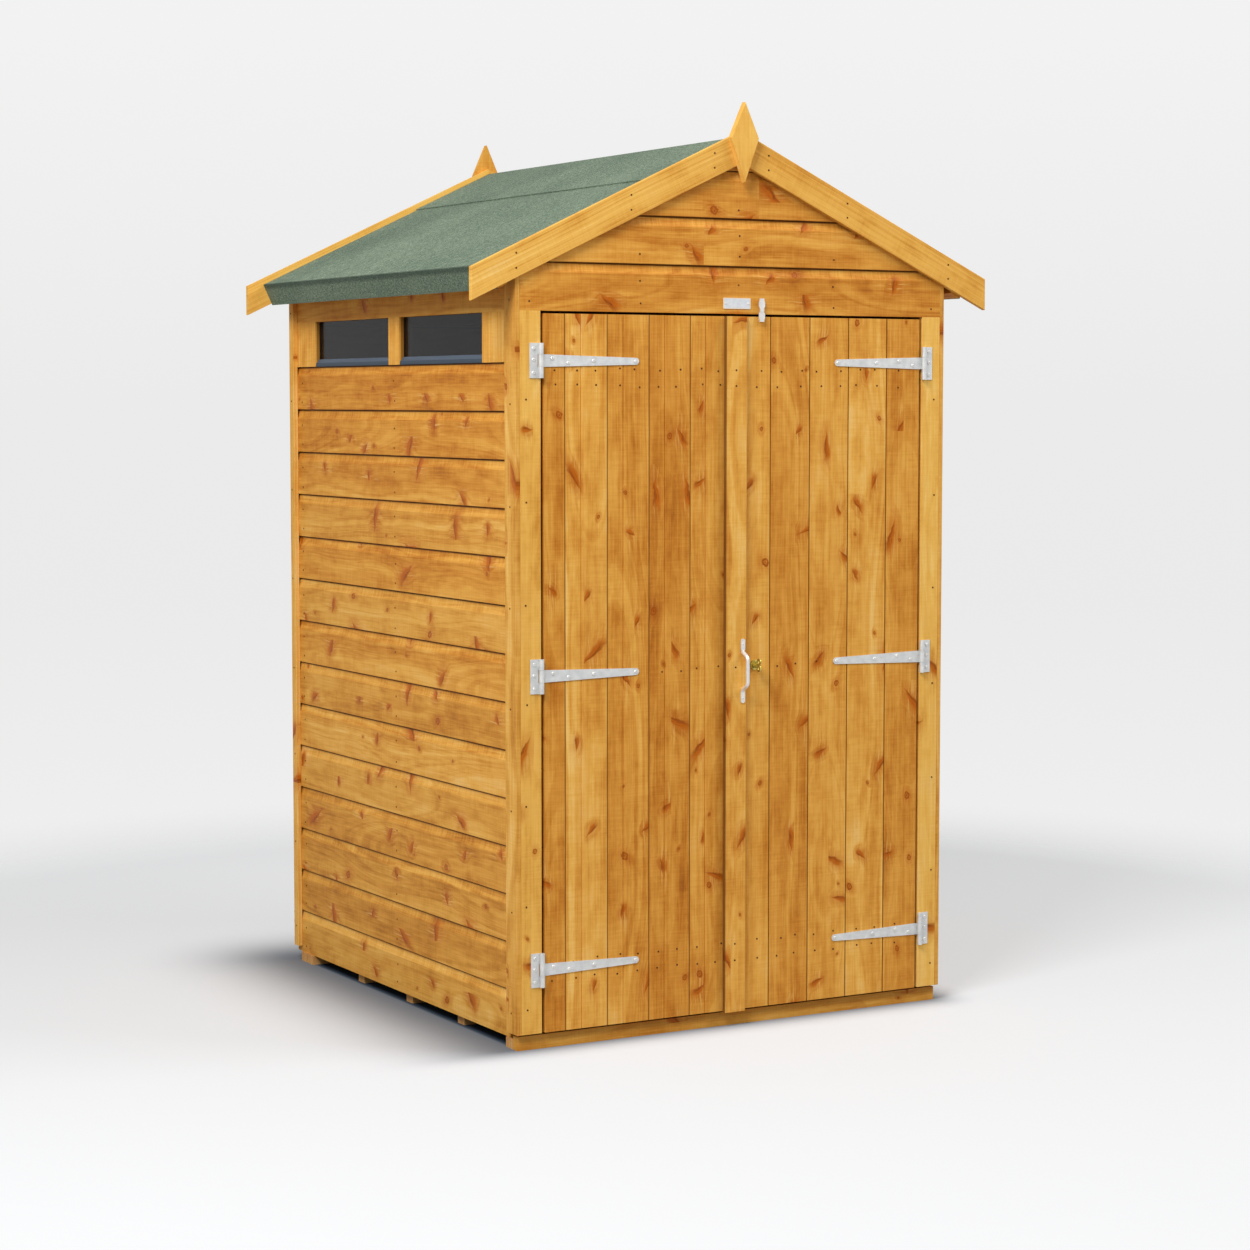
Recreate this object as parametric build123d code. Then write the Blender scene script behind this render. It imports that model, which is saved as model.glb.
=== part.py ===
from build123d import *
import math
import os

os.makedirs("parts", exist_ok=True)

# Overall sizes of the building
wall_width = 1170.0          # across the outside of the side cladding
wall_depth = 1300.0          # front face to back face
ridge_height = 2124.0        # top of the felt strip over the ridge
roof_pitch = 25.0            # degrees

# Boards and frame timber
board_thickness = 12.0       # cladding, door, floor, roof and trim boards
board_cover = 112.0          # one board to the next
scoop_height = 24.0          # hollowed upper edge of a shiplap board
scoop_depth = 5.5
lip_chamfer = 1.2
lap_gap = 2.0                # under the lower edge of a shiplap board
lap_depth = 9.0              # of that gap, from the outer face
groove_width = 4.0           # V joint between tongued and grooved boards
groove_depth = 2.5
side_boards = 14             # boards below the window row
cladding_bottom = 24.0
stud_wide = 44.0
stud_deep = 28.0
timber_gap = 0.3             # between frame timbers that butt together
arris = 1.0                  # taken off the long edges of trims and facing boards

# Base
bearer_height = 24.0
bearer_wide = 36.0
bearer_count = 5
long_bearer_overhang = 5.0   # front and rear bearers, past the side cladding
fascia_setback = 12.0        # from the front face
fascia_thick = 22.0
fascia_height = 33.0
rear_strip_setback = 33.0    # from the back face
rear_strip_gap = 4.0         # from the last bearer
base_clearance = 1.0         # floor and short bearers to the cladding

# Corners and doorway
trim_thickness = 12.0
trim_bottom = 39.0
front_trim_wide = 55.0
back_trim_wide = 28.0
door_post_wide = 53.5

# Window row on the left side
window_height = 116.5
front_block_wide = 135.0
rear_block_wide = 118.0
mullion_wide = 64.0
glass_thickness = 3.0
glass_lap = 9.0
glass_clearance = 0.3
sill_height = 19.0
sill_bed_height = 11.0
sill_wide = 9.0
sill_lip = 2.0               # bed past the nose
sill_lip_height = 4.0
sill_nose_step = 3.0
sill_top = 2.0

# Roof
felt_thickness = 3.0
eave_overhang = 80.0         # roof boards past the side cladding, level
eaves_batten_wide = 28.0
eaves_batten_deep = 44.0
purlin_wide = 28.0
purlin_deep = 34.0
ridge_strip_reach = 245.0    # down the slope from the ridge
bargeboard_wide = 69.0
bargeboard_rise = 11.7       # above the felt, square to the slope
bargeboard_overhang = 128.5  # past the side cladding, level
finial_thickness = 16.0
finial_half_wide = 38.0
finial_above_apex = 66.0
finial_below_apex = 121.0
finial_shoulder_drop = 18.0
ridge_beam_drop = 60.0

# Doors
door_side_gap = 8.0
door_top_gap = 6.0
door_bottom = 39.0
meeting_gap = 5.5
meeting_offset = -17.5       # the leaves meet left of the middle
door_joint_start = 90.5      # first board joint right of the middle
ledge_wide = 90.0
ledge_deep = 20.0
ledge_inset = 22.0
ledge_end_inset = 100.0
brace_foot = 72.0            # level cut at the foot of a brace
cover_strip_wide = 59.5
cover_strip_lap = 25.5       # over the other leaf
cover_strip_clearance = 5.2  # rebate over the other leaf
cover_strip_drop = 3.0       # below the boards of the leaf

# Hinges
lower_hinge_rise = 148.5     # above the foot of the door
upper_hinge_drop = 107.5     # below the top of the door
middle_hinge_drop = 20.25    # below halfway between the other two
hinge_offset = 2.5           # pin past the edge of the doorway, over the post
hinge_leaf = 2.0
plate_wide = 27.0            # pin to the edge of the plate
plate_high = 80.0
knuckle_radius = 6.0
pin_radius = 2.6
pin_clearance = 0.3
knuckle_gap = 0.4
strap_length = 250.0
strap_root = 28.5
strap_tip = 16.0
strap_inset = 1.5            # from the edge of the leaf

# Furniture
handle_height = 860.0
handle_length = 154.0
handle_foot = 30.0
handle_wide = 11.0
handle_foot_thick = 2.5
handle_foot_corner = 5.0
handle_reach = 28.0
handle_rod = 4.8
handle_root_half = 45.5      # bow at the feet, from the middle
handle_corner_half = 33.0    # where the sloping and straight runs would meet
handle_bend = 14.0
handle_inset = 10.0          # from the strip's right edge to the middle of the handle
lock_from_middle = 46.5
lock_height = 872.0
lock_rose_radius = 12.0
lock_rose_thick = 3.0
lock_barrel_radius = 7.5
lock_barrel_reach = 7.0
key_lobe_radius = 8.5        # each of the two round lobes of the bow
key_lobe_spread = 7.6        # from the stem to the middle of a lobe
key_lobe_hole = 3.5
key_bow_thick = 2.6
key_bow_sink = 3.0           # stem runs into the bow
key_stem_radius = 2.8
key_stem_reach = 6.0
button_from_middle = 60.5
button_length = 55.0
button_wide = 16.6           # across the bulges
button_waist = 11.0
button_end_wide = 12.6
button_end_length = 4.0
button_bulge_length = 8.0
button_thick = 3.0
button_standoff = 5.2
button_rise = 9.5            # middle of the button above the door head
button_flare = 6.0           # length of each taper
button_boss_radius = 5.5
button_boss_high = 2.4
button_foot_clearance = 1.0  # to the top of the door
plate_from_middle = -5.5
name_plate_wide = 75.5
name_plate_high = 26.0
name_plate_thick = 1.5
name_plate_corner = 1.5
name_plate_rise = 24.5       # middle of the plate above the door head

# Values that follow from the sizes above
wall_half = wall_width / 2
front = -wall_depth / 2
back = wall_depth / 2
slope = math.tan(math.radians(roof_pitch))
cos_pitch = math.cos(math.radians(roof_pitch))
window_bottom = cladding_bottom + side_boards * board_cover
window_top = window_bottom + window_height
door_head = window_top
felt_top_ridge = ridge_height - felt_thickness / cos_pitch
board_top_ridge = felt_top_ridge - felt_thickness / cos_pitch
board_under_ridge = board_top_ridge - board_thickness / cos_pitch
inner_face = wall_half - board_thickness
side_front = front + front_trim_wide
floor_top = bearer_height + board_thickness
floor_front = front + fascia_setback + fascia_thick
floor_back = back - board_thickness - base_clearance
opening_half = wall_half - door_post_wide
door_edge = opening_half - door_side_gap
door_top = door_head - door_top_gap
door_back = front + board_thickness
hinge_x = opening_half + hinge_offset
hinge_y = front - knuckle_radius - knuckle_gap
lowest_hinge = door_bottom + lower_hinge_rise
highest_hinge = door_top - upper_hinge_drop
hinge_heights = [lowest_hinge, (lowest_hinge + highest_hinge) / 2 - middle_hinge_drop, highest_hinge]
roof_edge = wall_half + eave_overhang
frame_back_y = back - board_thickness


def box(x0, x1, y0, y1, z0, z1):
    """Block between two corners."""
    return Pos((x0 + x1) / 2, (y0 + y1) / 2, (z0 + z1) / 2) * Box(abs(x1 - x0), abs(y1 - y0), abs(z1 - z0))


def prism_y(outline, y0, y1):
    """Prism between y0 and y1 with an outline of (x, z) points."""
    face = make_face(Polyline(*[(x, y0, z) for x, z in outline], close=True))
    return extrude(face, amount=y1 - y0, dir=(0, 1, 0))


def prism_x(outline, x0, x1):
    """Prism between x0 and x1 with an outline of (y, z) points."""
    face = make_face(Polyline(*[(x0, y, z) for y, z in outline], close=True))
    return extrude(face, amount=x1 - x0, dir=(1, 0, 0))


def prism_z(outline, z0, z1):
    """Prism between z0 and z1 with an outline of (x, y) points."""
    face = make_face(Polyline(*[(x, y, z0) for x, y in outline], close=True))
    return extrude(face, amount=z1 - z0)


def under_roof(x, ridge=board_under_ridge):
    """Height of a roof surface above x, from its height at the ridge."""
    return ridge - abs(x) * slope


def shiplap(outward, origin, length, count):
    """Run of shiplap boards: outward is the way they face, origin their lowest inner corner."""
    edges = [Line((0, 0), (board_thickness, 0))]
    low = (board_thickness, 0)
    rebate = board_thickness - lap_depth
    for board in range(count):
        high = (board + 1) * board_cover
        scoop_start = (board_thickness, high - scoop_height)
        scoop_end = (board_thickness - scoop_depth, high - lap_gap)
        edges.append(Line(low, scoop_start))
        edges.append(TangentArc(scoop_end, scoop_start, tangent=(0, -1)))
        edges.append(Line(scoop_end, (rebate, high - lap_gap)))
        if board < count - 1:
            lip = (board_thickness - lip_chamfer, high)
            low = (board_thickness, high + lip_chamfer)
            edges += Polyline((rebate, high - lap_gap), (rebate, high), lip, low).edges()
    top = count * board_cover
    edges += Polyline((rebate, top - lap_gap), (rebate, top), (0, top), (0, 0)).edges()
    plane = Plane(origin=origin, x_dir=outward, z_dir=Vector(*outward).cross(Vector(0, 0, 1)))
    face = plane * make_face(Wire(edges))
    return extrude(face, amount=length, dir=plane.z_dir)


def gable_limit(y0, y1, bottom):
    """Everything below the roof boards and above bottom, between the side faces."""
    edge = under_roof(wall_half)
    return prism_y([(-wall_half, bottom), (wall_half, bottom), (wall_half, edge),
                    (0, board_under_ridge), (-wall_half, edge)], y0, y1)


def save(name, *solids):
    """Writes one node."""
    shape = solids[0] if len(solids) == 1 else Compound(children=list(solids))
    export_step(shape, f"parts/{name}.step")


def mirrored(shape):
    return mirror(shape, about=Plane.YZ)


def long_edges_off(board, axis, *sides):
    """Takes the arris off the edges along an axis, on the given sides (largest or smallest in a direction)."""
    edges = board.edges().filter_by(axis)
    for direction, last in sides:
        edges = edges.group_by(direction)[-1 if last else 0]
    return chamfer(edges, arris)


# Base: bearers across the width and boarded floor
def bearers():
    """Evenly spaced bearers and a strip behind the last; all but the middle ones carry the side walls."""
    short, long = inner_face - base_clearance, wall_half + long_bearer_overhang
    strip_front = back - rear_strip_setback - bearer_wide
    last = strip_front - rear_strip_gap - bearer_wide
    pieces = [box(-long, long, strip_front, strip_front + bearer_wide, 0, bearer_height)]
    for number in range(bearer_count):
        y = floor_front + number * (last - floor_front) / (bearer_count - 1)
        reach = long if number in (0, bearer_count - 1) else short
        pieces.append(box(-reach, reach, y, y + bearer_wide, 0, bearer_height))
    return pieces


def front_fascia():
    long = wall_half + long_bearer_overhang
    return box(-long, long, front + fascia_setback, floor_front, 0, fascia_height)


def floor_boards():
    half = inner_face - base_clearance
    floor = box(-half, half, floor_front, floor_back, bearer_height, floor_top)
    joint = -half + board_cover
    while joint < half - groove_width:
        floor -= prism_y([(joint - groove_width / 2, floor_top), (joint + groove_width / 2, floor_top),
                          (joint, floor_top - groove_depth)], floor_front, floor_back)
        joint += board_cover
    return floor


# Side walls
def side_wall(outward, height_boards):
    """Cladding of the wall that faces outward (-1 left, 1 right), in its full length."""
    start = side_front if outward < 0 else frame_back_y
    length = frame_back_y - side_front
    return shiplap((outward, 0, 0), (outward * inner_face, start, cladding_bottom), length, height_boards)


def left_cladding():
    return side_wall(-1, side_boards)


def right_cladding():
    boards = math.ceil((under_roof(inner_face) - cladding_bottom) / board_cover)
    wall = side_wall(1, boards)
    return wall & gable_limit(side_front, frame_back_y, cladding_bottom)


front_block_end = side_front + front_block_wide
rear_block_start = back - back_trim_wide - rear_block_wide
mullion_middle = (front_block_end + rear_block_start) / 2
window_bays = [(front_block_end, mullion_middle - mullion_wide / 2),
               (mullion_middle + mullion_wide / 2, rear_block_start)]


def left_window_posts():
    spans = [(side_front, window_bays[0][0]), (window_bays[0][1], window_bays[1][0]),
             (window_bays[1][1], frame_back_y)]
    return [box(-wall_half, -inner_face, y0, y1, window_bottom, window_top) for y0, y1 in spans]


def left_top_board():
    return prism_y([(-wall_half, window_top), (-inner_face, window_top),
                    (-inner_face, under_roof(inner_face)), (-wall_half, under_roof(wall_half))],
                   side_front, frame_back_y)


def pane_boxes(lap, spread):
    """Glass of each window, lapping behind the boards by lap, grown by spread on every side but the outer."""
    return [box(-inner_face, -inner_face + glass_thickness + spread, y0 - lap - spread, y1 + lap + spread,
                window_bottom - lap - spread, window_top + lap + spread) for y0, y1 in window_bays]


def window_glass():
    return pane_boxes(glass_lap, 0)


def window_sills():
    """Glazing bar along the foot of each window: a bed under a sloping nose."""
    pieces = []
    for y0, y1 in window_bays:
        outer = -inner_face - sill_wide
        bed_top, top = window_bottom + sill_bed_height, window_bottom + sill_height
        outline = [(-inner_face, window_bottom), (outer - sill_lip, window_bottom),
                   (outer - sill_lip, window_bottom + sill_lip_height), (outer, bed_top),
                   (outer + sill_nose_step, bed_top), (-inner_face - sill_top, top), (-inner_face, top)]
        pieces.append(prism_y(outline, y0, y1))
    return pieces


side_stud_places = [side_front, mullion_middle - stud_wide / 2, frame_back_y - stud_deep - stud_wide]


def side_frame(with_windows):
    """Left wall frame: three studs with plates and rails between them, inside the cladding."""
    outer, inner = -inner_face, -inner_face + stud_deep
    top_z = under_roof(inner_face)
    plate_low = top_z - stud_wide
    top_plate = prism_y([(outer, plate_low), (inner, plate_low), (inner, under_roof(inner)), (outer, top_z)],
                        side_front, frame_back_y - stud_deep)
    pieces = [top_plate]
    for place in side_stud_places:
        pieces.append(box(outer, inner, place, place + stud_wide, floor_top, plate_low - timber_gap))
    rails = [floor_top]
    if with_windows:
        rails.append(window_bottom - stud_wide)
    else:
        rails.append((floor_top + plate_low - stud_wide) / 2)
    for first, second in zip(side_stud_places, side_stud_places[1:]):
        for low in rails:
            pieces.append(box(outer, inner, first + stud_wide + timber_gap, second - timber_gap,
                              low, low + stud_wide))
    if with_windows:
        rebates = pane_boxes(glass_lap, glass_clearance)
        pieces = [piece - rebates[0] - rebates[1] for piece in pieces]
    return pieces


# Back wall
def back_cladding():
    boards = math.ceil((board_under_ridge - cladding_bottom) / board_cover)
    wall = shiplap((0, 1, 0), (-wall_half, frame_back_y, cladding_bottom), wall_width, boards)
    return wall & gable_limit(frame_back_y, back, cladding_bottom)


def gable_frame(y0, y1, outer, foot, tie_low):
    """Posts up to the roof, a tie between them and rafters cut over it, as separate timbers."""
    inner = outer - stud_wide
    post = prism_y([(-outer, foot), (-inner, foot), (-inner, under_roof(inner)), (-outer, under_roof(outer))],
                   y0, y1)
    low = board_under_ridge - stud_wide / cos_pitch
    near, far = timber_gap / 2, inner - timber_gap
    rafter = prism_y([(-near, under_roof(near)), (-near, under_roof(near, low)), (-far, under_roof(far, low)),
                      (-far, under_roof(far))], y0, y1)
    tie = box(-far, far, y0, y1, tie_low, tie_low + stud_wide)
    rafter -= box(-far, 0, y0, y1, tie_low, tie_low + stud_wide + timber_gap)
    return [post, mirrored(post), rafter, mirrored(rafter), tie]


def back_frame():
    """Gable frame with a middle stud and rails, inside the back cladding."""
    y0, y1 = frame_back_y - stud_deep, frame_back_y
    pieces = gable_frame(y0, y1, inner_face, floor_top, window_top)
    pieces.append(box(-stud_wide / 2, stud_wide / 2, y0, y1, floor_top, window_top - timber_gap))
    near, far = stud_wide / 2 + timber_gap, inner_face - stud_wide - timber_gap
    for low in (floor_top, (floor_top + window_top - stud_wide) / 2):
        rail = box(-far, -near, y0, y1, low, low + stud_wide)
        pieces += [rail, mirrored(rail)]
    return pieces


# Front wall
def front_gable_boards():
    boards = math.ceil((board_under_ridge - door_head) / board_cover)
    wall = shiplap((0, -1, 0), (wall_half, door_back, door_head), wall_width, boards)
    return wall & gable_limit(front, door_back, door_head)


def left_door_post():
    post = box(-wall_half, -opening_half, front, door_back, trim_bottom, door_head)
    return long_edges_off(post, Axis.Z, (Axis.Y, False))


def front_frame():
    """Posts beside the doorway, tie over it and rafters, behind the front boards."""
    return gable_frame(door_back, side_front, wall_half, floor_top, door_head)


# Corner trims
def corner_trim(y0, y1):
    trim = prism_x([(y0, trim_bottom), (y1, trim_bottom), (y1, under_roof(wall_half + trim_thickness)),
                    (y0, under_roof(wall_half + trim_thickness))],
                   -wall_half - trim_thickness, -wall_half)
    return chamfer(trim.edges().filter_by(Axis.Z), arris)


# Roof
def slope_piece(top_ridge, thickness, x_inner, x_outer, y0, y1):
    """Board on the left slope whose top meets the middle at top_ridge; its lower end is cut square to the slope."""
    drop = thickness / cos_pitch
    shift = thickness * math.sin(math.radians(roof_pitch))
    top_outer = under_roof(x_outer, top_ridge)
    return prism_y([(-x_inner, under_roof(x_inner, top_ridge)), (-x_inner, under_roof(x_inner, top_ridge) - drop),
                    (-(x_outer - shift), top_outer - thickness * cos_pitch), (-x_outer, top_outer)], y0, y1)


def left_roof_boards():
    """Boards running down the slope, with a V joint between each two on the underside."""
    roof = slope_piece(board_top_ridge, board_thickness, 0, roof_edge, front, back)
    joint = front + board_cover
    while joint < back - groove_width:
        cut = prism_x([(joint - groove_width / 2, 0), (joint + groove_width / 2, 0), (joint, groove_depth)],
                      -roof_edge / cos_pitch, 0)
        cut = Pos(0, 0, board_under_ridge) * Rot(0, -roof_pitch, 0) * cut
        roof -= cut
        joint += board_cover
    return roof


def left_eaves_batten():
    down = math.sin(math.radians(roof_pitch)), cos_pitch
    corner = (roof_edge - board_thickness * down[0],
              under_roof(roof_edge, board_top_ridge) - board_thickness * down[1])
    along = eaves_batten_wide * cos_pitch, eaves_batten_wide * math.sin(math.radians(roof_pitch))
    deep = eaves_batten_deep * down[0], eaves_batten_deep * down[1]
    outline = [(-corner[0], corner[1]), (-(corner[0] - along[0]), corner[1] + along[1]),
               (-(corner[0] - along[0] - deep[0]), corner[1] + along[1] - deep[1]),
               (-(corner[0] - deep[0]), corner[1] - deep[1])]
    return prism_y(outline, front, back)


def roof_purlins():
    """Ridge beam and one purlin under each slope, between the gable frames."""
    y0, y1 = side_front + timber_gap, frame_back_y - stud_deep - timber_gap
    half = purlin_wide / 2
    ridge = prism_y([(-half, board_under_ridge - ridge_beam_drop), (half, board_under_ridge - ridge_beam_drop),
                     (half, under_roof(half)), (0, board_under_ridge), (-half, under_roof(half))], y0, y1)
    middle = inner_face / 2
    left = prism_y([(-middle - half, under_roof(middle + half)), (-middle + half, under_roof(middle - half)),
                    (-middle + half, under_roof(middle - half) - purlin_deep),
                    (-middle - half, under_roof(middle + half) - purlin_deep)], y0, y1)
    return [ridge, left, mirrored(left)]


def left_felt():
    """Felt on the slope, turned down over the end of the boards and the eaves batten."""
    down = math.sin(math.radians(roof_pitch)), cos_pitch
    fall = board_thickness + eaves_batten_deep
    edge_x, edge_z = roof_edge, under_roof(roof_edge, board_top_ridge)
    thick_x, thick_z = felt_thickness * cos_pitch, felt_thickness * down[0]
    top_x, top_z = edge_x + thick_x, edge_z - thick_z
    outline = [(0, board_top_ridge), (0, felt_top_ridge),
               (-(edge_x + felt_thickness * down[0]), edge_z + felt_thickness * down[1]),
               (-(top_x + felt_thickness * down[0]), top_z + felt_thickness * down[1]),
               (-(top_x - fall * down[0]), top_z - fall * down[1]),
               (-(edge_x - fall * down[0]), edge_z - fall * down[1]), (-edge_x, edge_z)]
    return prism_y(outline, front, back)


def ridge_felt():
    """Strip of felt over the ridge, lapping both slopes."""
    reach = ridge_strip_reach * cos_pitch
    left = slope_piece(ridge_height, felt_thickness, 0, reach, front, back)
    return left + mirrored(left)


apex_top = ridge_height + bargeboard_rise / cos_pitch
bargeboard_end = wall_half + bargeboard_overhang


def left_bargeboard(y0, y1):
    """Board along the gable, with the arris off its outer face except at the joint in the middle."""
    plumb = bargeboard_wide / cos_pitch
    end_top = under_roof(bargeboard_end, apex_top)
    board = prism_y([(0, apex_top), (0, apex_top - plumb), (-bargeboard_end, end_top - plumb),
                     (-bargeboard_end, end_top)], y0, y1)
    outer_edges = board.edges().group_by(Axis.Y)[0 if y0 < 0 else -1]
    return chamfer(outer_edges.sort_by(Axis.X)[:-1], arris)


def finial(y0, y1):
    """Kite-shaped point over the joint of two bargeboards."""
    shoulder = apex_top - finial_shoulder_drop
    kite = prism_y([(0, apex_top + finial_above_apex), (-finial_half_wide, shoulder),
                    (0, apex_top - finial_below_apex), (finial_half_wide, shoulder)], y0, y1)
    return chamfer(kite.edges().group_by(Axis.Y)[0 if y0 < 0 else -1], arris)


def name_plate():
    plate = box(plate_from_middle - name_plate_wide / 2, plate_from_middle + name_plate_wide / 2,
                front - name_plate_thick, front, door_head + name_plate_rise - name_plate_high / 2,
                door_head + name_plate_rise + name_plate_high / 2)
    return chamfer(plate.edges().filter_by(Axis.Y), name_plate_corner)


# Doors
def leaf_boards(x0, x1, joints):
    leaf = box(x0, x1, front, door_back, door_bottom, door_top)
    for joint in joints:
        leaf -= prism_z([(joint - groove_width / 2, front), (joint + groove_width / 2, front),
                         (joint, front + groove_depth)], door_bottom, door_top)
    return leaf


def door_joints(x0, x1):
    """Board joints of both leaves lie one cover apart, counted out from the middle."""
    joints = []
    place = door_joint_start
    while place < door_edge:
        joints += [joint for joint in (-place, place) if x0 + board_cover / 3 < joint < x1 - board_cover / 3]
        place += board_cover
    return joints


def leaf_ledges(hinge_side, meeting_side):
    """Three ledges and two braces across the back of a leaf; the braces rise away from the hinges."""
    y0, y1 = door_back, door_back + ledge_deep
    away = 1 if meeting_side > hinge_side else -1
    near = hinge_side + away * ledge_inset
    far = meeting_side - away * ledge_inset
    lows = [floor_top + ledge_end_inset, (door_bottom + door_top - ledge_wide) / 2,
            door_top - ledge_end_inset - ledge_wide]
    ledges = [box(min(near, far), max(near, far), y0, y1, low, low + ledge_wide) for low in lows]
    braces = []
    for low, high in zip(lows, lows[1:]):
        z0, z1 = low + ledge_wide + timber_gap, high - timber_gap
        outline = [(near, z0), (near + away * brace_foot, z0), (far, z1), (far - away * brace_foot, z1)]
        braces.append(prism_y(outline, y0, y1))
    return ledges + braces


strip_right = meeting_offset + cover_strip_wide - cover_strip_lap


def cover_strip():
    """Strip on the right leaf; its lap over the left leaf is rebated to stand clear."""
    strip = box(strip_right - cover_strip_wide, strip_right, front - board_thickness, front,
                door_bottom - cover_strip_drop, door_top)
    strip = long_edges_off(strip, Axis.Z, (Axis.Y, False))
    lap_end = meeting_offset + meeting_gap / 2
    return strip - box(strip_right - cover_strip_wide, lap_end, front - cover_strip_clearance, front,
                       door_bottom - cover_strip_drop, door_top)


# Hinges
def knuckle(z0, z1):
    return Pos(-hinge_x, hinge_y, (z0 + z1) / 2) * Cylinder(knuckle_radius, z1 - z0)


def hinge_plate(height):
    """Left hinge plate on its post, with the two outer knuckles and the pin; the strap turns between them."""
    edge, top = plate_high / 2, front - hinge_leaf
    reach = strap_root / 2 + knuckle_gap
    plate = box(-hinge_x - plate_wide, -hinge_x, top, front, height - edge, height + edge)
    plate -= box(-hinge_x - knuckle_radius - knuckle_gap, -hinge_x, top, front, height - reach, height + reach)
    plate += knuckle(height - edge, height - reach) + knuckle(height + reach, height + edge)
    plate += Pos(-hinge_x, hinge_y, height) * Cylinder(pin_radius, plate_high)
    return plate


def hinge_strap(height):
    """Left strap on its leaf: middle knuckle, a tongue across the gap and a tapered leaf with a round end."""
    root_x = -door_edge + strap_inset
    tip_x = -door_edge + strap_length - strap_tip / 2
    low, high = height - strap_root / 2, height + strap_root / 2
    outline = [(root_x, low), (tip_x, height - strap_tip / 2), (tip_x, height + strap_tip / 2), (root_x, high)]
    strap = prism_y(outline, front - hinge_leaf, front)
    strap += Pos(tip_x, front - hinge_leaf / 2, height) * Rot(90, 0, 0) * Cylinder(strap_tip / 2, hinge_leaf)
    strap += box(-hinge_x, root_x, front - hinge_leaf, front - knuckle_gap, low, high)
    strap += knuckle(low, high)
    return strap - Pos(-hinge_x, hinge_y, height) * Cylinder(pin_radius + pin_clearance, strap_root)


# Furniture of the right leaf
def pull_handle():
    """Bow handle: two flat feet and a round bow between them."""
    x = strip_right - handle_inset
    face = front - board_thickness
    half = handle_length / 2
    feet = []
    for side in (-1, 1):
        middle = handle_height + side * (half - handle_foot / 2)
        foot = box(x - handle_wide / 2, x + handle_wide / 2, face - handle_foot_thick, face,
                   middle - handle_foot / 2, middle + handle_foot / 2)
        feet.append(fillet(foot.edges().filter_by(Axis.Y), handle_foot_corner))
    bow_y = face - handle_reach + handle_rod
    low, high = handle_height - handle_root_half, handle_height + handle_root_half
    path = FilletPolyline((x, face, low), (x, bow_y, handle_height - handle_corner_half),
                          (x, bow_y, handle_height + handle_corner_half), (x, face, high), radius=handle_bend)
    bow = sweep(Plane(path @ 0, z_dir=path % 0) * Circle(handle_rod), path=path)
    bow &= box(x - handle_wide, x + handle_wide, face - handle_reach, face, low - handle_foot, high + handle_foot)
    return bow + feet[0] + feet[1]


def turned(radius, length, back_y):
    """Round piece of the lock, standing out from back_y."""
    return Pos(lock_from_middle, back_y - length / 2, lock_height) * Rot(90, 0, 0) * Cylinder(radius, length)


def door_lock():
    """Rose, barrel and key with a flat bow of two round lobes."""
    barrel_y = front - lock_rose_thick
    stem_y = barrel_y - lock_barrel_reach
    lock = turned(lock_rose_radius, lock_rose_thick, front) + turned(lock_barrel_radius, lock_barrel_reach, barrel_y)
    lock += turned(key_stem_radius, key_stem_reach, stem_y)
    lobe_y = stem_y - key_stem_reach - key_lobe_radius + key_bow_sink
    for side in (-1, 1):
        place = Pos(lock_from_middle, lobe_y, lock_height + side * key_lobe_spread) * Rot(0, 90, 0)
        lobe = place * Cylinder(key_lobe_radius, key_bow_thick)
        lock += lobe - place * Cylinder(key_lobe_hole, key_bow_thick)
    return lock


def turn_button():
    """Button with a bulge in each half, on a round foot that holds it clear of the board over the door."""
    x, z = button_from_middle, door_head + button_rise
    half = button_length / 2
    near = front - button_standoff
    neck = z - half + button_end_length
    bulge = neck + button_flare
    waist = bulge + button_bulge_length + button_flare
    outline = [(x - button_waist / 2, z), (x - button_waist / 2, waist), (x - button_wide / 2, waist - button_flare),
               (x - button_wide / 2, bulge), (x - button_end_wide / 2, neck), (x - button_end_wide / 2, z - half)]
    points = outline + [(2 * x - px, pz) for px, pz in reversed(outline)]
    lower = prism_y(points, near - button_thick, near)
    upper = mirror(lower, about=Plane(origin=(x, front, z), z_dir=(0, 0, 1)))
    foot_z = (door_top + z - half) / 2
    foot_radius = door_top - foot_z - button_foot_clearance
    foot = Pos(x, front - button_standoff / 2, foot_z) * Rot(90, 0, 0) * Cylinder(foot_radius, button_standoff)
    boss = Pos(x, near - button_thick, z) * Rot(90, 0, 0) * Cylinder(button_boss_radius, button_boss_high)
    return lower + upper + foot + boss


save("bearers", *bearers())
save("front_fascia", front_fascia())
save("floor_boards", floor_boards())
save("left_cladding", left_cladding())
save("left_window_posts", *left_window_posts())
save("left_top_board", left_top_board())
save("window_glass", *window_glass())
save("window_sills", *window_sills())
save("left_wall_frame", *side_frame(True))
save("right_cladding", right_cladding())
save("right_wall_frame", *[mirrored(piece) for piece in side_frame(False)])
save("back_cladding", back_cladding())
save("back_wall_frame", *back_frame())
save("front_gable_boards", front_gable_boards())
save("front_wall_frame", *front_frame())
save("left_door_post", left_door_post())
save("right_door_post", mirrored(left_door_post()))

front_left_trim = corner_trim(front, side_front)
back_left_trim = corner_trim(back - back_trim_wide, back)
save("front_left_trim", front_left_trim)
save("front_right_trim", mirrored(front_left_trim))
save("back_left_trim", back_left_trim)
save("back_right_trim", mirrored(back_left_trim))

save("left_roof_boards", left_roof_boards())
save("right_roof_boards", mirrored(left_roof_boards()))
save("left_eaves_batten", left_eaves_batten())
save("right_eaves_batten", mirrored(left_eaves_batten()))
save("roof_purlins", *roof_purlins())
save("left_felt", left_felt())
save("right_felt", mirrored(left_felt()))
save("ridge_felt", ridge_felt())

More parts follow.
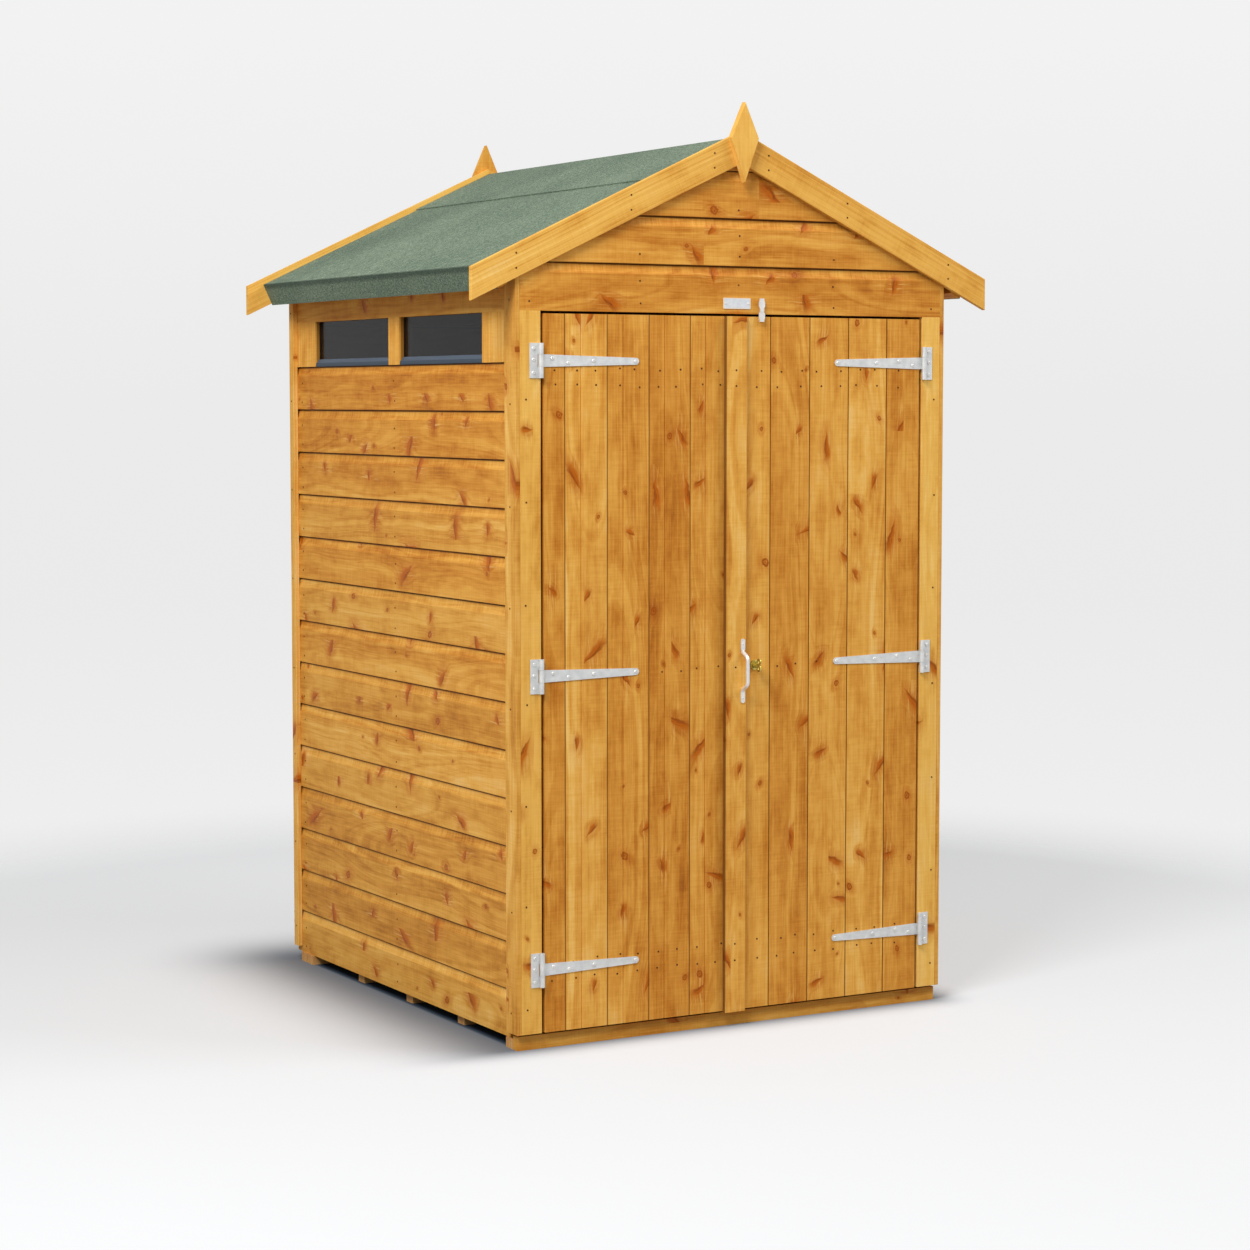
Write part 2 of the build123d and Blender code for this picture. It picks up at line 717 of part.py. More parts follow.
front_bargeboard = left_bargeboard(front - board_thickness, front)
back_bargeboard = left_bargeboard(back, back + board_thickness)
save("front_left_bargeboard", front_bargeboard)
save("front_right_bargeboard", mirrored(front_bargeboard))
save("back_left_bargeboard", back_bargeboard)
save("back_right_bargeboard", mirrored(back_bargeboard))
save("front_finial", finial(front - board_thickness - finial_thickness, front - board_thickness))
save("back_finial", finial(back + board_thickness, back + board_thickness + finial_thickness))
save("name_plate", name_plate())

left_inner = meeting_offset - meeting_gap / 2
right_inner = meeting_offset + meeting_gap / 2
save("left_leaf_boards", leaf_boards(-door_edge, left_inner, door_joints(-door_edge, left_inner)))
save("right_leaf_boards", leaf_boards(right_inner, door_edge, door_joints(right_inner, door_edge)))
save("left_leaf_ledges", *leaf_ledges(-door_edge, left_inner))
save("right_leaf_ledges", *leaf_ledges(door_edge, right_inner))
save("cover_strip", cover_strip())

plates = [hinge_plate(height) for height in hinge_heights]
straps = [hinge_strap(height) for height in hinge_heights]
save("left_hinge_plates", *plates)
save("right_hinge_plates", *[mirrored(plate) for plate in plates])
save("left_hinge_straps", *straps)
save("right_hinge_straps", *[mirrored(strap) for strap in straps])
save("pull_handle", pull_handle())
save("door_lock", door_lock())
save("turn_button", turn_button())
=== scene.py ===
import math
import random

import bmesh
import bpy
from mathutils import Matrix, Vector


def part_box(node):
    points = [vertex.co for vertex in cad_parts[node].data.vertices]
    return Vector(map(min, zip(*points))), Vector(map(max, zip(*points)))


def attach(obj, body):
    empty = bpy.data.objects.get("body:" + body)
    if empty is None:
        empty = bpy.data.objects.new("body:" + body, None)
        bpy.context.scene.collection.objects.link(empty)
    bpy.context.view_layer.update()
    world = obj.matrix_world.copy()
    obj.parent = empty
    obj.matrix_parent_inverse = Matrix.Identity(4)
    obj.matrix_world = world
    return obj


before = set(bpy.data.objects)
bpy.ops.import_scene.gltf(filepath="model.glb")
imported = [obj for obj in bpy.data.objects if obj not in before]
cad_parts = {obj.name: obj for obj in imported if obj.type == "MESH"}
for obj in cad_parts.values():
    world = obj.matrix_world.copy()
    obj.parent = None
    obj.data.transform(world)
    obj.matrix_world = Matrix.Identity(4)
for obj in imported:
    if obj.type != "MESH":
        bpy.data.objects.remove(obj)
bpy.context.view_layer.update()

# Sizes in metres that the boards, timbers and hinges were cut and set to, and the roof's slope
board_cover = 0.112
scoop_height = 0.024
cladding_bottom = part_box("left_cladding")[0].z
door_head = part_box("front_gable_boards")[0].z
front_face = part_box("left_leaf_boards")[0].y
first_door_joint = 0.0905
ledge_wide = 0.090
stud_wide = 0.044
middle_stud = 0.022
strap_thick = 0.002
hinge_heights = (0.1875, 0.871, 1.595)
roof_pitch = math.radians(25)

# Ways that the grain can run, as axis numbers: along the grain, across the face, through the board
UPRIGHT_FRONT = (2, 0, 1)
UPRIGHT_SIDE = (2, 1, 0)
LEVEL_FRONT = (0, 2, 1)
LEVEL_SIDE = (1, 2, 0)
FLOOR_BOARDS = (1, 0, 2)
ROOF_BOARDS = (0, 1, 2)

FORWARD = (0, -1, 0)
BACKWARD = (0, 1, 0)
LEFTWARD = (-1, 0, 0)
RIGHTWARD = (1, 0, 0)


def srgb(red, green, blue):
    """Colour as a shader takes it, from the values that a paint chart gives."""
    def straight(value):
        share = value / 255
        return share / 12.92 if share <= 0.04045 else ((share + 0.055) / 1.055) ** 2.4
    return straight(red), straight(green), straight(blue), 1.0


def five_tones(*tones):
    return tuple(srgb(*tone) for tone in tones)


def middle(node, axis):
    low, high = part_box(node)
    return (low[axis] + high[axis]) / 2


# Shader maths
class Wire:
    """Number coming out of a node; arithmetic on it adds Math nodes."""

    def __init__(self, tree, socket):
        self.tree = tree
        self.socket = socket

    def __add__(self, other):
        return self.tree.maths("ADD", self, other)

    def __sub__(self, other):
        return self.tree.maths("SUBTRACT", self, other)

    def __rsub__(self, other):
        return self.tree.maths("SUBTRACT", other, self)

    def __mul__(self, other):
        return self.tree.maths("MULTIPLY", self, other)

    def __truediv__(self, other):
        return self.tree.maths("DIVIDE", self, other)

    def __pow__(self, other):
        return self.tree.maths("POWER", self, other)

    __radd__ = __add__
    __rmul__ = __mul__


class Tree:
    """Nodes of a finish or of a pattern."""

    def __init__(self, tree):
        self.nodes = tree.nodes
        self.links = tree.links

    def node(self, kind, sockets=None, stops=None, **settings):
        """Adds a node: its settings and ramp stops first, then its sockets' values or links."""
        made = self.nodes.new(kind)
        for name, value in settings.items():
            setattr(made, name, value)
        if stops:
            ramp = made.color_ramp
            while len(ramp.elements) < len(stops):
                ramp.elements.new(0.5)
            for element, (position, colour) in zip(ramp.elements, stops):
                element.position = position
                element.color = colour
        for name, value in (sockets or {}).items():
            self.feed(made, name, value)
        return made

    def feed(self, node, name, value):
        if isinstance(value, Wire):
            value = value.socket
        if isinstance(value, bpy.types.NodeSocket):
            self.links.new(value, node.inputs[name])
        else:
            node.inputs[name].default_value = value

    def maths(self, operation, *values):
        made = self.node("ShaderNodeMath", dict(enumerate(values)), operation=operation)
        return Wire(self, made.outputs[0])

    def swing(self, value, by):
        """A value between 0 and 1 as a number that swings about 0 by that much in all."""
        return (value - 0.5) * by

    def distance(self, first, second):
        """Distance of a place that lies so far along and so far across."""
        return self.maths("SQRT", first ** 2.0 + second ** 2.0)

    def chosen(self, jumbled, share):
        """1 for that share of a jumbled number's values, and 0 for the rest."""
        return self.maths("LESS_THAN", self.maths("FRACT", jumbled), share)

    def split(self, vector):
        """The three numbers of a vector or of a colour's random values."""
        made = self.node("ShaderNodeSeparateXYZ", {0: vector})
        return [Wire(self, socket) for socket in made.outputs]

    def join(self, first, second, third):
        return self.node("ShaderNodeCombineXYZ", {0: first, 1: second, 2: third}).outputs[0]

    def noise(self, vector, scale=1.0, detail=2.0, roughness=0.5):
        made = self.node("ShaderNodeTexNoise", {"Vector": vector, "Scale": scale, "Detail": detail,
                                                "Roughness": roughness})
        return Wire(self, made.outputs[0])

    def noise_at(self, first, second, third, detail=2.0, roughness=0.5):
        """Noise that depends on three numbers."""
        return self.noise(self.join(first, second, third), 1.0, detail, roughness)

    def noise_line(self, number, scale, detail=1.0):
        """Noise that depends on one number."""
        made = self.node("ShaderNodeTexNoise", {"W": number, "Scale": scale, "Detail": detail},
                         noise_dimensions="1D")
        return Wire(self, made.outputs[0])

    def random(self, number):
        """Three random numbers for each value of a number."""
        made = self.node("ShaderNodeTexWhiteNoise", {"W": number}, noise_dimensions="1D")
        return self.split(made.outputs["Color"])

    def rise(self, value, low, high):
        """0 below low, 1 above high and smooth between; low may be the larger."""
        made = self.node("ShaderNodeMapRange",
                         {"Value": value, "From Min": low, "From Max": high},
                         interpolation_type="SMOOTHSTEP")
        return Wire(self, made.outputs[0])

    def ramp(self, value, *stops):
        return self.node("ShaderNodeValToRGB", {0: value}, stops=stops).outputs[0]

    def blend(self, mask, first, second):
        """First colour where mask is 0, second where it is 1."""
        made = self.node("ShaderNodeMix", {0: mask, 6: first, 7: second}, data_type="RGBA")
        return made.outputs[2]


class Finish(Tree):
    """Material of one kind of surface."""

    def __init__(self, name):
        self.material = bpy.data.materials.new(name)
        self.material.use_nodes = True
        super().__init__(self.material.node_tree)
        self.shader = self.nodes["Principled BSDF"]
        self.place = self.node("ShaderNodeTexCoord").outputs["Object"]

    def bump(self, height, strength, distance):
        made = self.node("ShaderNodeBump",
                         {"Height": height, "Strength": strength, "Distance": distance})
        self.feed(self.shader, "Normal", made.outputs[0])

    def set(self, **values):
        """Gives the shader's sockets a value or a link; underscores stand for their spaces."""
        for name, value in values.items():
            self.feed(self.shader, name.replace("_", " "), value)

    def pattern(self, pattern, **sockets):
        """Outputs of a shared pattern, by name."""
        made = self.node("ShaderNodeGroup", sockets, node_tree=pattern)
        return {socket.name: Wire(self, socket) for socket in made.outputs}


class Pattern(Tree):
    """Node group that takes and gives numbers."""

    def __init__(self, name, takes, gives):
        self.group = bpy.data.node_groups.new(name, "ShaderNodeTree")
        for names, way in ((takes, "INPUT"), (gives, "OUTPUT")):
            for socket in names:
                self.group.interface.new_socket(name=socket, in_out=way,
                                                socket_type="NodeSocketFloat")
        super().__init__(self.group)
        source = self.node("NodeGroupInput")
        self.taken = {name: Wire(self, source.outputs[name]) for name in takes}

    def give(self, **values):
        self.node("NodeGroupOutput", values)
        return self.group


# Stained softwood: five tones from dark to light, and where they stand between 0 and 1
AMBER = five_tones((150, 82, 18), (190, 118, 34), (212, 146, 56), (228, 168, 74), (242, 197, 112))
HONEY = five_tones((172, 105, 26), (207, 144, 54), (226, 169, 75), (236, 184, 89), (246, 208, 123))
STRAW = five_tones((148, 88, 22), (190, 126, 44), (213, 153, 64), (227, 173, 84), (243, 203, 124))
SAWN = five_tones((150, 96, 44), (184, 128, 68), (200, 147, 86), (212, 164, 104), (224, 182, 126))
TONE_STEPS = (0.0, 0.28, 0.52, 0.74, 1.0)
KNOT_DARK = srgb(98, 42, 0)
KNOT_RED = srgb(184, 92, 4)
# Dark of joint lines (gathered stain and painted shade) and of painted shade elsewhere
JOINT_AND_SHADE_DARK = srgb(86, 40, 0)
JOINT_SHADE = 0.8
WOOD_SHINE = 0.16
GRAIN_BUMP, GRAIN_DEPTH = 0.35, 0.0007

# Knots: metres between their places along a board, the share of places that hold one, how far the
# board's heart line strays, and the angle in radians between a spike knot and the grain
SPIKE_APART, SPIKE_SHARE = 0.20, 0.36
ROUND_APART, ROUND_SHARE = 0.17, 0.32
HEART_STRAYS = 0.055
WALL_SLANT = 1.05
DOOR_SLANT = 0.60

# Growth rings: waves of light and dark wood in a metre, broad ones and fine ones
BROAD_RINGS, FINE_RINGS = 100.0, 330.0


def scattered(wood, along, board, apart, seed):
    """Nearest of the places scattered along each board: distance from it, and three random
    numbers of its own."""
    reach = along / apart + board * 11.3 + seed
    cell = wood.node("ShaderNodeTexVoronoi", {"W": reach, "Scale": 1.0, "Randomness": 0.92},
                     voronoi_dimensions="1D")
    return (reach - Wire(wood, cell.outputs["W"])) * apart, *wood.split(cell.outputs["Color"])


def turned_by(wood, off, away, angle):
    """Distances along and across something that lies at an angle to the grain."""
    cosine, sine = wood.maths("COSINE", angle), wood.maths("SINE", angle)
    return off * cosine + away * sine, away * cosine - off * sine


def softwood():
    """Grain and knots of boards under a stain. Along, Side and Through are in metres, and Side is
    from the board's middle. A number beside a length in a noise is how often the noise changes in
    a metre; one after a swing, a rise or a mask is its strength, in metres where it moves the
    grain or a knot."""
    wood = Pattern("softwood", ("Along", "Side", "Through", "Board", "Knots", "Slant"),
                   ("Tone", "Red", "Dark", "Pale", "Height"))
    along, side, through, board, share, slant = wood.taken.values()
    first, second, third = wood.random(board)
    run = along + board * 3.7

    # Spike knots: branches cut lengthways, in mirrored pairs on both sides of the heart line
    off, place, pick, size = scattered(wood, along, board, SPIKE_APART, 0.0)
    from_heart = side - wood.swing(first, HEART_STRAYS)
    hand = wood.maths("SIGN", from_heart)
    away = wood.maths("ABSOLUTE", from_heart) - (place * 0.042 + 0.003)
    there = wood.chosen(pick * 13.7 + size * 5.1 + hand * 0.31, share * SPIKE_SHARE)
    leaning = wood.maths("SIGN", second - 0.5)
    down, over = turned_by(wood, off * leaning, away, slant + wood.swing(pick, 1.3) + hand * 0.12)
    over = over + wood.swing(wood.noise_at(down * 40.0, board, pick * 9.0), 0.014)
    long = size * size * 0.030 + 0.014
    wide = (size * 0.0030 + 0.0036) * (slant * 0.9 + 0.5)
    strand = wood.noise_at(down * 60.0, over * 420.0, board, 3.0, 0.6)
    torn = wood.swing(strand, 1.3)
    taper = wood.maths("MAXIMUM", down / long * 0.8 + 1.0, 0.25)
    across = over / (wide * taper)
    far = wood.distance(down / long, across) + torn
    spike = wood.rise(far, 1.55, 0.3) * there
    spike_red = spike * (0.60 + wood.rise(across, -1.0, 0.8) * 0.38)
    spike_dark = spike * (wood.rise(across + torn * 0.6, 0.0, 0.9) * 0.80
                          + wood.rise(strand, 0.52, 0.64) * 0.50)
    around = wood.distance(down / (long * 1.8), over / (wide * 4.4))
    spike_halo = wood.rise(around, 1.3, 0.2) * there
    wisps = wood.rise(wood.distance(off / 0.075, away / 0.022), 1.1, 0.2) * there

    # Round knots: a broken ring with a dark heart
    off, place, pick, size = scattered(wood, along, board, ROUND_APART, 31.7)
    away = side - wood.swing(place, board_cover * 0.86)
    here = wood.chosen(pick * 9.1 + size * 3.3, share * ROUND_SHARE)
    down, over = turned_by(wood, off, away, wood.swing(pick, 1.4))
    radius = size * size * 0.0062 + 0.0024
    rough = wood.swing(wood.noise(wood.join(off, away, board), 170.0, 3.0, 0.6), 1.5)
    far = wood.distance(down / (radius * 1.25), over / radius) + rough
    eye = wood.rise(far, 1.3, 0.7) * here
    ring_edge = wood.rise(wood.maths("ABSOLUTE", far - 0.9), 0.42, 0.05) * here
    centre = wood.rise(far, 0.5, 0.1) * here
    around = wood.distance(down / (radius * 5.0), over / (radius * 3.0))
    eye_halo = wood.rise(around, 1.2, 0.2) * here

    # Growth rings: distance from a heart behind the face; they bend round the knots
    halo = wood.maths("MINIMUM", spike_halo + eye_halo, 1.0)
    drift = wood.swing(wood.noise_at(along * 1.6, side * 7.0, board), 0.010)
    bend = spike_halo * 0.0045 + eye_halo * 0.0035
    heart = (side + wood.swing(first, 0.14) + drift
             + wood.swing(wood.noise_line(run, 0.8, 2.0), 0.03))
    behind = (through * 0.5 + second * 0.07 + 0.006
              + wood.swing(wood.noise_line(run + 9.0, 0.75, 2.0), 0.05))
    rings = wood.distance(heart, behind) + bend
    broad = wood.noise_line(rings, BROAD_RINGS)
    late = wood.rise(wood.noise_line(rings, FINE_RINGS), 0.45, 0.66)

    # Streaks along the grain, planer marks across it, and clouds where the stain took more
    bent = side + drift + bend
    streak = wood.noise_at(run * 1.5, bent * 95.0, board, 3.0, 0.6)
    hair = wood.noise_at(along * 11.0, bent * 450.0, through * 450.0)
    wisp = wood.noise_at(along * 13.0, (side + drift + bend * 0.4) * 190.0, board)
    cloud = wood.noise_at(run * 3.0, side * 12.0, board, 3.0, 0.55)
    patch = wood.noise_at(run * 14.0, side * 26.0, board, 3.0, 0.6)
    planed = wood.noise_at(along * 260.0, side * 14.0, board, 1.0)
    tone = (0.58 + wood.swing(third, 0.30) + wood.swing(streak, 0.44) + wood.swing(cloud, 0.80)
            + wood.swing(patch, 0.66) + wood.swing(hair, 0.40) + wood.swing(broad, 0.40)
            - late * 0.12 + wood.swing(planed, 0.20) - halo * 0.10)
    blush = wood.rise(patch * 0.6 + cloud * 0.4, 0.50, 0.66) * 0.16
    red = spike_red + ring_edge * 0.6 + eye * 0.26 + halo * 0.34 + blush
    dark = wood.maths("MAXIMUM", spike_dark, ring_edge * 0.44 + centre * 0.50)
    pale = (wisps + halo * 0.5) * wood.rise(wisp, 0.50, 0.66) * (1 - spike) * (1 - eye) * 0.42
    height = (late * 0.35 + wood.swing(hair, 1.0) + (spike_dark + ring_edge) * 0.8
              + wood.swing(planed, 0.5))
    return wood.give(Tone=tone, Red=wood.maths("MINIMUM", red, 0.94), Dark=dark, Pale=pale,
                     Height=height)


SOFTWOOD = softwood()


def timber(name, grain, tones=AMBER, cover=0.0, start=0.0, seed=0.0, joint=None, knotty=1.0,
           slant=WALL_SLANT, stained=None):
    """Stained softwood. grain gives the axes; cover is the width of the boards, or 0 for one
    board; joint says what their edges have: "scoop" for shiplap, "vee" for tongued and grooved
    boards. The last argument gives how far each place is darkened by painted shade on edges,
    under things and in recesses."""
    wood = Finish(name)
    axes = wood.split(wood.place)
    if callable(grain):
        along, across, through = grain(wood, *axes)
    else:
        along, across, through = (axes[axis] for axis in grain)
    reach = across - start
    side, board = reach, seed
    if cover:
        count = reach / cover
        number = wood.maths("FLOOR", count)
        side = (count - number - 0.5) * cover
        board = number + seed
    look = wood.pattern(SOFTWOOD, Along=along, Side=side, Through=through, Board=board,
                        Knots=knotty, Slant=slant)
    tone = look["Tone"]
    # Painted shade on edges, under things and in recesses, where the last argument asks for it
    shade = stained(wood, *axes) if stained else None
    half = cover / 2
    if joint == "scoop":
        # Machining ticks and a painted highlight on the scooped band, which faces up
        lip = wood.rise(side, half - scoop_height - 0.002, half - scoop_height + 0.006)
        ticks = wood.noise_at(along * 190.0, side * 12.0, board, 1.0)
        tone = tone + lip * (0.05 + wood.swing(ticks, 0.4))
        # Dark line at the lap: partly gathered stain, partly painted shade under the upper board's
        # lip
        shade = wood.rise(side, half - 0.0050, half - 0.0025) * JOINT_SHADE
    if joint == "vee":
        # Dark line at each joint: partly gathered stain, partly painted shade in the groove
        edge = wood.maths("ABSOLUTE", side)
        shade = wood.rise(edge, half - 0.0020, half - 0.0008) * JOINT_SHADE
    colour = wood.ramp(tone, *zip(TONE_STEPS, tones))
    if joint == "scoop":
        # Towards the top of a wall the shiplap turns more red and darker: partly a warmer stain,
        # partly painted shade from the eaves
        redder_and_shaded = wood.rise(reach + wood.swing(wood.random(board)[0], 0.7), 0.3, 1.4)
        tone = tone - redder_and_shaded * 0.17
        colour = wood.blend(redder_and_shaded, colour, wood.ramp(tone, *zip(TONE_STEPS, AMBER)))
    colour = wood.blend(look["Pale"], colour, tones[4])
    colour = wood.blend(look["Red"], colour, KNOT_RED)
    colour = wood.blend(look["Dark"], colour, KNOT_DARK)
    if shade:
        colour = wood.blend(shade, colour, JOINT_AND_SHADE_DARK)
    wood.set(Base_Color=colour, Specular_IOR_Level=WOOD_SHINE,
             Roughness=0.64 - look["Red"] * 0.12 + wood.swing(tone, 0.12))
    wood.bump(look["Height"], GRAIN_BUMP, GRAIN_DEPTH)
    return wood.material


def along_slope(wood, x, y, z):
    """Grain that climbs with the roof on both sides."""
    out = wood.maths("ABSOLUTE", x)
    return (z * math.sin(roof_pitch) - out * math.cos(roof_pitch),
            z * math.cos(roof_pitch) + out * math.sin(roof_pitch), y)


def within(wood, value, bands):
    """1 inside bands that are each given by their middle and half width, and 0 outside them."""
    inside = 0.0
    for centre, half in bands:
        near = wood.maths("ABSOLUTE", value - centre)
        inside = wood.maths("MAXIMUM", inside, wood.maths("LESS_THAN", near, half))
    return inside


def frame_grain(posts, axis):
    """Upright grain in the posts, each given by its middle and half width, and level grain
    between them."""
    def grain(wood, x, y, z):
        level, deep = (x, y) if axis == 0 else (y, x)
        upright = within(wood, level, posts)
        along = z * upright + level * (1 - upright)
        across = level * upright + z * (1 - upright)
        return along, across, deep
    return grain


def ledge_grain(node):
    """Level grain in the three ledges and upright grain in the braces between them."""
    low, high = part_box(node)
    half = ledge_wide / 2
    ledges = [(low.z + half, half), (middle(node, 2), half), (high.z - half, half)]

    def grain(wood, x, y, z):
        level = within(wood, z, ledges)
        return x * level + z * (1 - level), z * level + x * (1 - level), y
    return grain


def stained_edge(node, axis, side, depth, amount):
    """Painted shade over a depth from one side of a node's box: side 0 is its low side and 1 its
    high side."""
    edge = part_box(node)[side][axis]
    inward = 1 - 2 * side
    return lambda wood, *axes: wood.rise((axes[axis] - edge) * inward, depth, depth * 0.4) * amount


def stained_reveal(node, axis, side, depth, amount):
    """Painted shade on everything further than a depth from one side of a node's box."""
    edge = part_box(node)[side][axis]
    inward = 1 - 2 * side
    return lambda wood, *axes: wood.rise((axes[axis] - edge) * inward, depth, depth * 3) * amount


def finish(node, material):
    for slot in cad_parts[node].material_slots:
        slot.material = material


def one_board(node, grain, seed, **more):
    """Finish for a node that is a single board."""
    start = 0.0 if callable(grain) else middle(node, grain[1])
    finish(node, timber(node + "_wood", grain, start=start, seed=seed, **more))


def cladding(node, grain, start, seed, tones):
    finish(node, timber(node + "_wood", grain, tones, board_cover, start, seed, "scoop"))


# Roofing felt, metals, glass and plastic
def felt_finish():
    """Green mineral felt: coloured grains over a faint weave, with soft clouding; painted shade
    makes it darker where it turns down at the eaves."""
    felt = Finish("green_felt")
    x, y, z = felt.split(felt.place)
    fall = felt.distance(x, z)
    grit = felt.noise(felt.place, 900.0, 2.0, 0.7)
    speck = felt.noise(felt.place, 240.0)
    weave = felt.noise_at(y * 60.0, fall * 420.0, 0.0)
    warp = felt.noise_at(y * 420.0, fall * 60.0, 0.0)
    cloud = felt.noise(felt.place, 3.5, 3.0)
    tone = (0.5 + felt.swing(grit, 1.5) + felt.swing(speck, 1.1) + felt.swing(weave, 0.5)
            + felt.swing(warp, 0.5) + felt.swing(cloud, 0.45))
    colour = felt.ramp(tone, (0.0, srgb(50, 66, 58)), (0.35, srgb(90, 107, 91)),
                       (0.6, srgb(115, 130, 110)), (0.85, srgb(148, 161, 138)),
                       (1.0, srgb(188, 197, 177)))
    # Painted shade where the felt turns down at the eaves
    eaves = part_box("right_felt")[1].x
    painted_eaves_shade = felt.rise(felt.maths("ABSOLUTE", x), eaves - 0.008, eaves - 0.003) * 0.60
    colour = felt.blend(painted_eaves_shade, colour, srgb(46, 60, 52))
    felt.set(Base_Color=colour, Roughness=0.92, Specular_IOR_Level=0.2)
    felt.bump(grit * 0.6 + weave * 0.5 + warp * 0.5 + cloud * 1.2, strength=0.5, distance=0.0012)
    return felt.material


def zinc_finish(name, dull, bright, rough):
    """Zinc plating between a dull and a bright tone, with faint rolling lines and patches."""
    zinc = Finish(name)
    x, y, z = zinc.split(zinc.place)
    lines = zinc.noise_at(x * 30.0, y * 400.0, z * 700.0)
    patch = zinc.noise(zinc.place, 60.0, 3.0)
    colour = zinc.ramp(patch * 0.7 + lines * 0.3, (0.3, dull), (0.7, bright))
    zinc.set(Base_Color=colour, Metallic=0.5, Roughness=rough + patch * 0.2)
    zinc.bump(lines + patch * 0.6, strength=0.12, distance=0.0004)
    return zinc.material


def nail_finish():
    """Nail heads that the stain has turned brown."""
    nail = Finish("nail_heads")
    patch = nail.noise(nail.place, 90.0)
    colour = nail.ramp(patch, (0.35, srgb(64, 34, 14)), (0.7, srgb(100, 62, 30)))
    nail.set(Base_Color=colour, Roughness=0.65 + patch * 0.2, Specular_IOR_Level=0.15)
    return nail.material


def brass_finish():
    """Yellow brass, duller and greener in patches."""
    brass = Finish("dull_brass")
    patch = brass.noise(brass.place, 140.0, 3.0)
    colour = brass.ramp(patch, (0.3, srgb(150, 136, 62)), (0.55, srgb(196, 176, 84)),
                        (0.8, srgb(224, 212, 128)))
    brass.set(Base_Color=colour, Metallic=0.8, Roughness=0.28 + patch * 0.25)
    brass.bump(patch, strength=0.1, distance=0.0005)
    return brass.material


def glass_finish():
    """Sheet painted dark grey as the inside's shade, which partly shows through; faint dust."""
    glass = Finish("window_sheet")
    dust = glass.noise(glass.place, 26.0, 4.0)
    # Dark grey painted on the sheet as the shade inside the shed
    colour = glass.ramp(dust, (0.35, srgb(14, 14, 16)), (0.8, srgb(26, 25, 27)))
    glass.set(Base_Color=colour, Alpha=0.60 + glass.swing(dust, 0.1),
              Roughness=0.04 + dust * 0.08, Specular_IOR_Level=0.22)
    return glass.material


def bar_finish():
    """Blue-grey glazing bar, with a painted highlight that lightens its sloping top."""
    bar = Finish("glazing_bar")
    x, y, z = bar.split(bar.place)
    streak = bar.noise_at(x * 200.0, y * 8.0, z * 200.0, 3.0)
    face = bar.ramp(streak, (0.3, srgb(42, 54, 66)), (0.75, srgb(56, 68, 80)))
    # Lighter copy of the bar's colour, painted on its top as a highlight
    top = bar.ramp(streak, (0.3, srgb(68, 80, 94)), (0.75, srgb(82, 94, 108)))
    half_way = middle("window_sills", 2)
    colour = bar.blend(bar.rise(z, half_way - 0.0005, half_way + 0.0005), face, top)
    bar.set(Base_Color=colour, Roughness=0.45 + streak * 0.2, Specular_IOR_Level=0.25)
    return bar.material


def plate_finish():
    """Bare white plate, yellower towards its edge."""
    plate = Finish("bare_plate")
    low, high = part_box("name_plate")
    x, _, z = plate.split(plate.place)
    inset_x = (high.x - low.x) / 2 - plate.maths("ABSOLUTE", x - middle("name_plate", 0))
    inset_z = (high.z - low.z) / 2 - plate.maths("ABSOLUTE", z - middle("name_plate", 2))
    edge = plate.rise(plate.maths("MINIMUM", inset_x, inset_z), 0.0026, 0.0008)
    haze = plate.noise(plate.place, 120.0)
    face = plate.ramp(haze, (0.3, srgb(206, 210, 214)), (0.7, srgb(222, 225, 228)))
    colour = plate.blend(edge, face, srgb(232, 214, 186))
    plate.set(Base_Color=colour, Roughness=0.3 + haze * 0.15)
    return plate.material


# Finishes of the wooden pieces
cladding("left_cladding", LEVEL_SIDE, cladding_bottom, 10.0, STRAW)
cladding("right_cladding", LEVEL_SIDE, cladding_bottom, 40.0, STRAW)
cladding("back_cladding", LEVEL_FRONT, cladding_bottom, 70.0, STRAW)
cladding("front_gable_boards", LEVEL_FRONT, door_head, 104.0, AMBER)
for number, leaf in enumerate(("left_leaf", "right_leaf")):
    finish(leaf + "_boards", timber(leaf + "_wood", UPRIGHT_FRONT, AMBER, board_cover,
                                    first_door_joint, 131.0 + 32 * number, "vee", knotty=1.15,
                                    slant=DOOR_SLANT))
finish("floor_boards", timber("floor_wood", FLOOR_BOARDS, SAWN, board_cover,
                              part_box("floor_boards")[0].x, 190.0, "vee"))
# Painted shade down the cover strip's left side, for its side face and the gap under it
one_board("cover_strip", UPRIGHT_FRONT, 201.0, slant=DOOR_SLANT,
          stained=stained_edge("cover_strip", 0, 0, depth=0.0042, amount=0.85))
# Painted shade on the window posts' reveals, in the recess
one_board("left_window_posts", UPRIGHT_SIDE, 203.0, knotty=0.5,
          stained=stained_reveal("left_window_posts", 0, 0, depth=0.002, amount=0.65))
# Painted shadow of the eaves along the top of the left top board
one_board("left_top_board", LEVEL_SIDE, 205.0,
          stained=stained_edge("left_top_board", 2, 1, depth=0.075, amount=0.30))
one_board("left_door_post", UPRIGHT_FRONT, 207.0, tones=HONEY, knotty=0.6)
one_board("right_door_post", UPRIGHT_FRONT, 211.0, tones=HONEY, knotty=0.6)
for number, corner in enumerate(("front_left", "front_right", "back_left", "back_right")):
    one_board(corner + "_trim", UPRIGHT_SIDE, 213.0 + 2 * number, tones=STRAW, knotty=0.7)
    one_board(corner + "_bargeboard", along_slope, 221.0 + 2 * number, tones=HONEY, knotty=0.9,
              slant=DOOR_SLANT)
one_board("front_finial", UPRIGHT_FRONT, 229.0, tones=HONEY, knotty=0.0)
one_board("back_finial", UPRIGHT_FRONT, 231.0, tones=HONEY, knotty=0.0)
